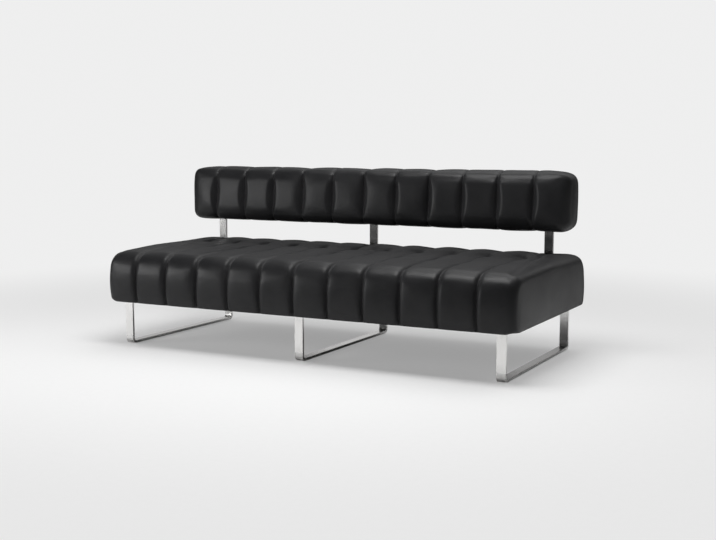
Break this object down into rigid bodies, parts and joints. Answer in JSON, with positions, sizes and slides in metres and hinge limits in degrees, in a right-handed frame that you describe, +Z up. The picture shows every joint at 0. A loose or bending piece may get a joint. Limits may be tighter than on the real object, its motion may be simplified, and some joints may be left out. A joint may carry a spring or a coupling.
{
  "type": "lobby bench",
  "caption": "Long upholstered bench with a deep channel-stitched black leather seat, a matching raised back cushion on flat steel posts, and flat-bar steel sled legs.",
  "frame": {"origin": "on the floor, under the middle of the bench's outline in plan", "axes": "+X along the length to a viewer's right when facing the front, -Y towards the front, +Z up"},
  "size_m": [2, 0.9602, 0.812],
  "materials": {
    "black_leather": "satin",
    "satin_steel": "satin",
    "zinc_steel": "satin",
    "insert_brass": "satin",
    "glide_nylon": "matte",
    "frame_timber": "matte",
    "plywood": "matte",
    "seat_foam": "matte",
    "dust_fabric": "matte"
  },
  "bodies": {
    "root": {"left_sled": "satin_steel", "middle_sled": "satin_steel", "right_sled": "satin_steel", "floor_glides": "glide_nylon", "sled_bolts": "zinc_steel", "sled_washers": "zinc_steel", "insert_nuts": "insert_brass", "front_rail": "frame_timber", "rear_rail": "frame_timber", "left_end_rail": "frame_timber", "right_end_rail": "frame_timber", "center_rail": "frame_timber", "rear_center_block": "frame_timber", "post_rail": "frame_timber", "corner_blocks": "frame_timber", "frame_screws": "zinc_steel", "deck_screws": "zinc_steel", "seat_deck": "plywood", "seat_border_foam": "seat_foam", "seat_top_foam": "seat_foam", "seat_cover": "black_leather", "left_dust_cover": "dust_fabric", "right_dust_cover": "dust_fabric", "left_post": "satin_steel", "middle_post": "satin_steel", "right_post": "satin_steel", "post_screws": "zinc_steel", "back_board": "plywood", "back_front_foam": "seat_foam", "back_rear_foam": "seat_foam", "back_cover": "black_leather"}
  },
  "joints": []
}
